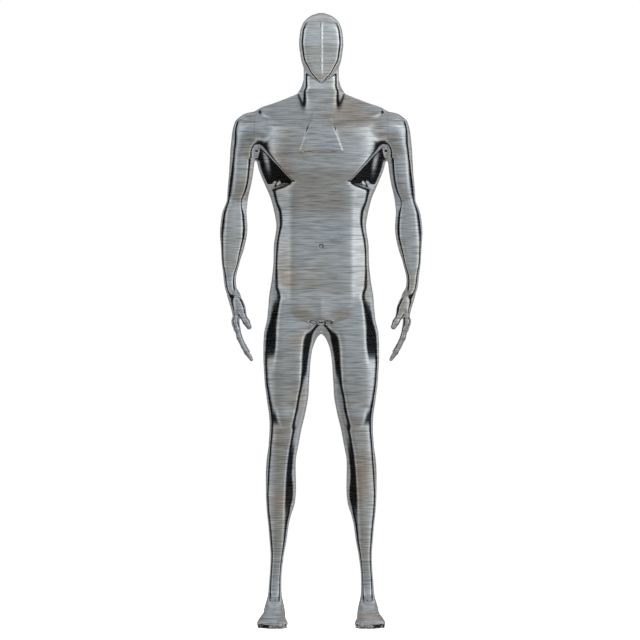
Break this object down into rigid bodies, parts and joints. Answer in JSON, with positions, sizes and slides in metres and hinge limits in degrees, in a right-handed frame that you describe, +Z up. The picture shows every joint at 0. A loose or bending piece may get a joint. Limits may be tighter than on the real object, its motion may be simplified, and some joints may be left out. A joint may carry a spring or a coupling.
{
  "type": "full body mannequin",
  "caption": "Standing abstract male display mannequin with a smooth egg head, hollow brushed-metal-look shells, lift-off limbs on turn-to-lock fittings and a foot socket for a stand.",
  "frame": {"origin": "middle of the footprint, on the surface the soles stand on", "axes": "+Z up, -Y the way the figure faces, +X towards its own left hand"},
  "size_m": [0.624, 0.3149, 1.88],
  "materials": {
    "brushed_skin": "satin, finely hand-brushed metallised lacquer over glass-fibre laminate",
    "zinc_steel": "satin zinc plate",
    "bulkhead_board": "matte fibreboard",
    "friction_rubber": "matte",
    "black_screw": "satin black"
  },
  "bodies": {
    "lower_body": {"lower_body_shell": "brushed_skin", "foot_spigot_socket": "zinc_steel", "waist_keyhole_bulkhead": "bulkhead_board", "waist_keyhole_disc": "zinc_steel", "waist_friction_ring": "friction_rubber", "waist_disc_screw_a": "black_screw", "waist_disc_screw_b": "black_screw", "left_hip_keyhole_bulkhead": "bulkhead_board", "left_hip_keyhole_disc": "zinc_steel", "left_hip_friction_ring": "friction_rubber", "left_hip_disc_screw_a": "black_screw", "left_hip_disc_screw_b": "black_screw"},
    "upper_body": {"chest_shell": "brushed_skin", "waist_stud_bulkhead": "bulkhead_board", "waist_stud": "zinc_steel", "waist_cross_pin": "zinc_steel", "neck_keyhole_bulkhead": "bulkhead_board", "neck_keyhole_disc": "zinc_steel", "neck_friction_ring": "friction_rubber", "neck_disc_screw_a": "black_screw", "neck_disc_screw_b": "black_screw", "left_shoulder_keyhole_bulkhead": "bulkhead_board", "left_shoulder_keyhole_disc": "zinc_steel", "left_shoulder_friction_ring": "friction_rubber", "left_shoulder_disc_screw_a": "black_screw", "left_shoulder_disc_screw_b": "black_screw", "right_shoulder_keyhole_bulkhead": "bulkhead_board", "right_shoulder_keyhole_disc": "zinc_steel", "right_shoulder_friction_ring": "friction_rubber", "right_shoulder_disc_screw_a": "black_screw", "right_shoulder_disc_screw_b": "black_screw"},
    "head": {"head_shell": "brushed_skin", "neck_stud_bulkhead": "bulkhead_board", "neck_stud": "zinc_steel", "neck_cross_pin": "zinc_steel"},
    "left_arm": {"left_arm_shell": "brushed_skin", "left_shoulder_stud_bulkhead": "bulkhead_board", "left_shoulder_stud": "zinc_steel", "left_shoulder_cross_pin": "zinc_steel", "left_wrist_keyhole_plate": "zinc_steel"},
    "right_arm": {"right_arm_shell": "brushed_skin", "right_shoulder_stud_bulkhead": "bulkhead_board", "right_shoulder_stud": "zinc_steel", "right_shoulder_cross_pin": "zinc_steel", "right_wrist_keyhole_plate": "zinc_steel"},
    "left_hand": {"left_hand": "brushed_skin", "left_wrist_stud": "zinc_steel", "left_wrist_cross_pin": "zinc_steel"},
    "right_hand": {"right_hand": "brushed_skin", "right_wrist_stud": "zinc_steel", "right_wrist_cross_pin": "zinc_steel"},
    "left_leg": {"left_leg_shell": "brushed_skin", "left_hip_stud_bulkhead": "bulkhead_board", "left_hip_stud": "zinc_steel", "left_hip_cross_pin": "zinc_steel"}
  },
  "joints": [
    {"name": "waist_turn", "type": "hinge", "parent": "lower_body", "child": "upper_body", "pos_m": [0, 0.033, 1.1], "axis": [0, 0, 1], "range_deg": [0, 45]},
    {"name": "head_turn", "type": "hinge", "parent": "upper_body", "child": "head", "pos_m": [0, 0.045, 1.645], "axis": [0, 0, 1], "range_deg": [-60, 60]},
    {"name": "left_leg_turn", "type": "hinge", "parent": "lower_body", "child": "left_leg", "pos_m": [0.088, 0.041, 0.96875], "axis": [-0.6157, 0, 0.788], "range_deg": [0, 45]},
    {"name": "left_shoulder_turn", "type": "hinge", "parent": "upper_body", "child": "left_arm", "pos_m": [0.2045, 0.045, 1.523], "axis": [-1, 0, 0], "range_deg": [-15, 80]},
    {"name": "left_wrist_turn", "type": "hinge", "parent": "left_arm", "child": "left_hand", "pos_m": [0.2795, 0.013, 1.045], "axis": [0, 0, 1], "range_deg": [-75, 75]},
    {"name": "right_shoulder_turn", "type": "hinge", "parent": "upper_body", "child": "right_arm", "pos_m": [-0.2045, 0.045, 1.523], "axis": [-1, 0, 0], "range_deg": [-15, 80]},
    {"name": "right_wrist_turn", "type": "hinge", "parent": "right_arm", "child": "right_hand", "pos_m": [-0.2795, 0.013, 1.045], "axis": [0, 0, -1], "range_deg": [-75, 75]}
  ]
}
